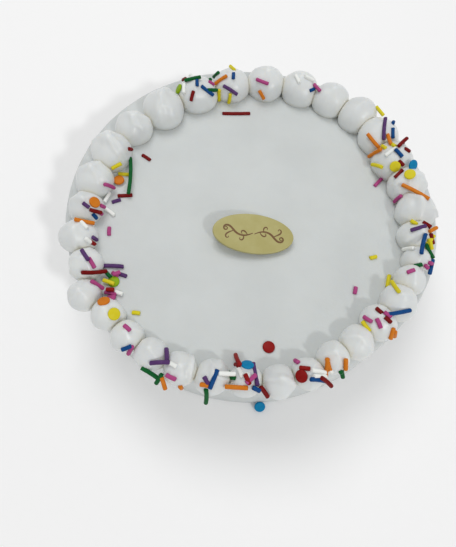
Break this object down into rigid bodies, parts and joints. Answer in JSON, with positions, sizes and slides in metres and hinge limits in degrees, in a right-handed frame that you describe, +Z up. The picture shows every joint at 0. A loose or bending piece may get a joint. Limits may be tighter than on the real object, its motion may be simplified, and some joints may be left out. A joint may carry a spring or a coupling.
{
  "type": "vanilla cake",
  "caption": "Round white iced cake, low and flat on top, with a crowded ring of piped icing kisses round its edge, bright sugar sprinkles and an oval pale chocolate plaque.",
  "frame": {"origin": "centre of the cake's flat base, where it rests", "axes": "+Z up, +Y towards the back of the cake, +X to the right as the plaque is read"},
  "size_m": [0.2048, 0.2089, 0.0607],
  "materials": {
    "smooth_icing": "white vanilla icing, spread smooth with a spatula, satin",
    "piped_icing": "white vanilla icing, piped, soft satin",
    "pale_chocolate": "white chocolate, cream yellow, soft gloss"
  },
  "bodies": {
    "root": {"iced_cake": "smooth_icing", "kiss_01": "piped_icing", "kiss_02": "piped_icing", "kiss_03": "piped_icing", "kiss_04": "piped_icing", "kiss_05": "piped_icing", "kiss_06": "piped_icing", "kiss_07": "piped_icing", "kiss_08": "piped_icing", "kiss_09": "piped_icing", "kiss_10": "piped_icing", "kiss_11": "piped_icing", "kiss_12": "piped_icing", "kiss_13": "piped_icing", "kiss_14": "piped_icing", "kiss_15": "piped_icing", "kiss_16": "piped_icing", "kiss_17": "piped_icing", "kiss_18": "piped_icing", "kiss_19": "piped_icing", "kiss_20": "piped_icing", "kiss_21": "piped_icing", "kiss_22": "piped_icing", "kiss_23": "piped_icing", "kiss_24": "piped_icing", "kiss_25": "piped_icing", "kiss_26": "piped_icing", "kiss_27": "piped_icing", "kiss_28": "piped_icing", "kiss_29": "piped_icing", "kiss_30": "piped_icing", "kiss_31": "piped_icing", "kiss_32": "piped_icing", "kiss_33": "piped_icing", "plaque": "pale_chocolate"}
  },
  "joints": []
}
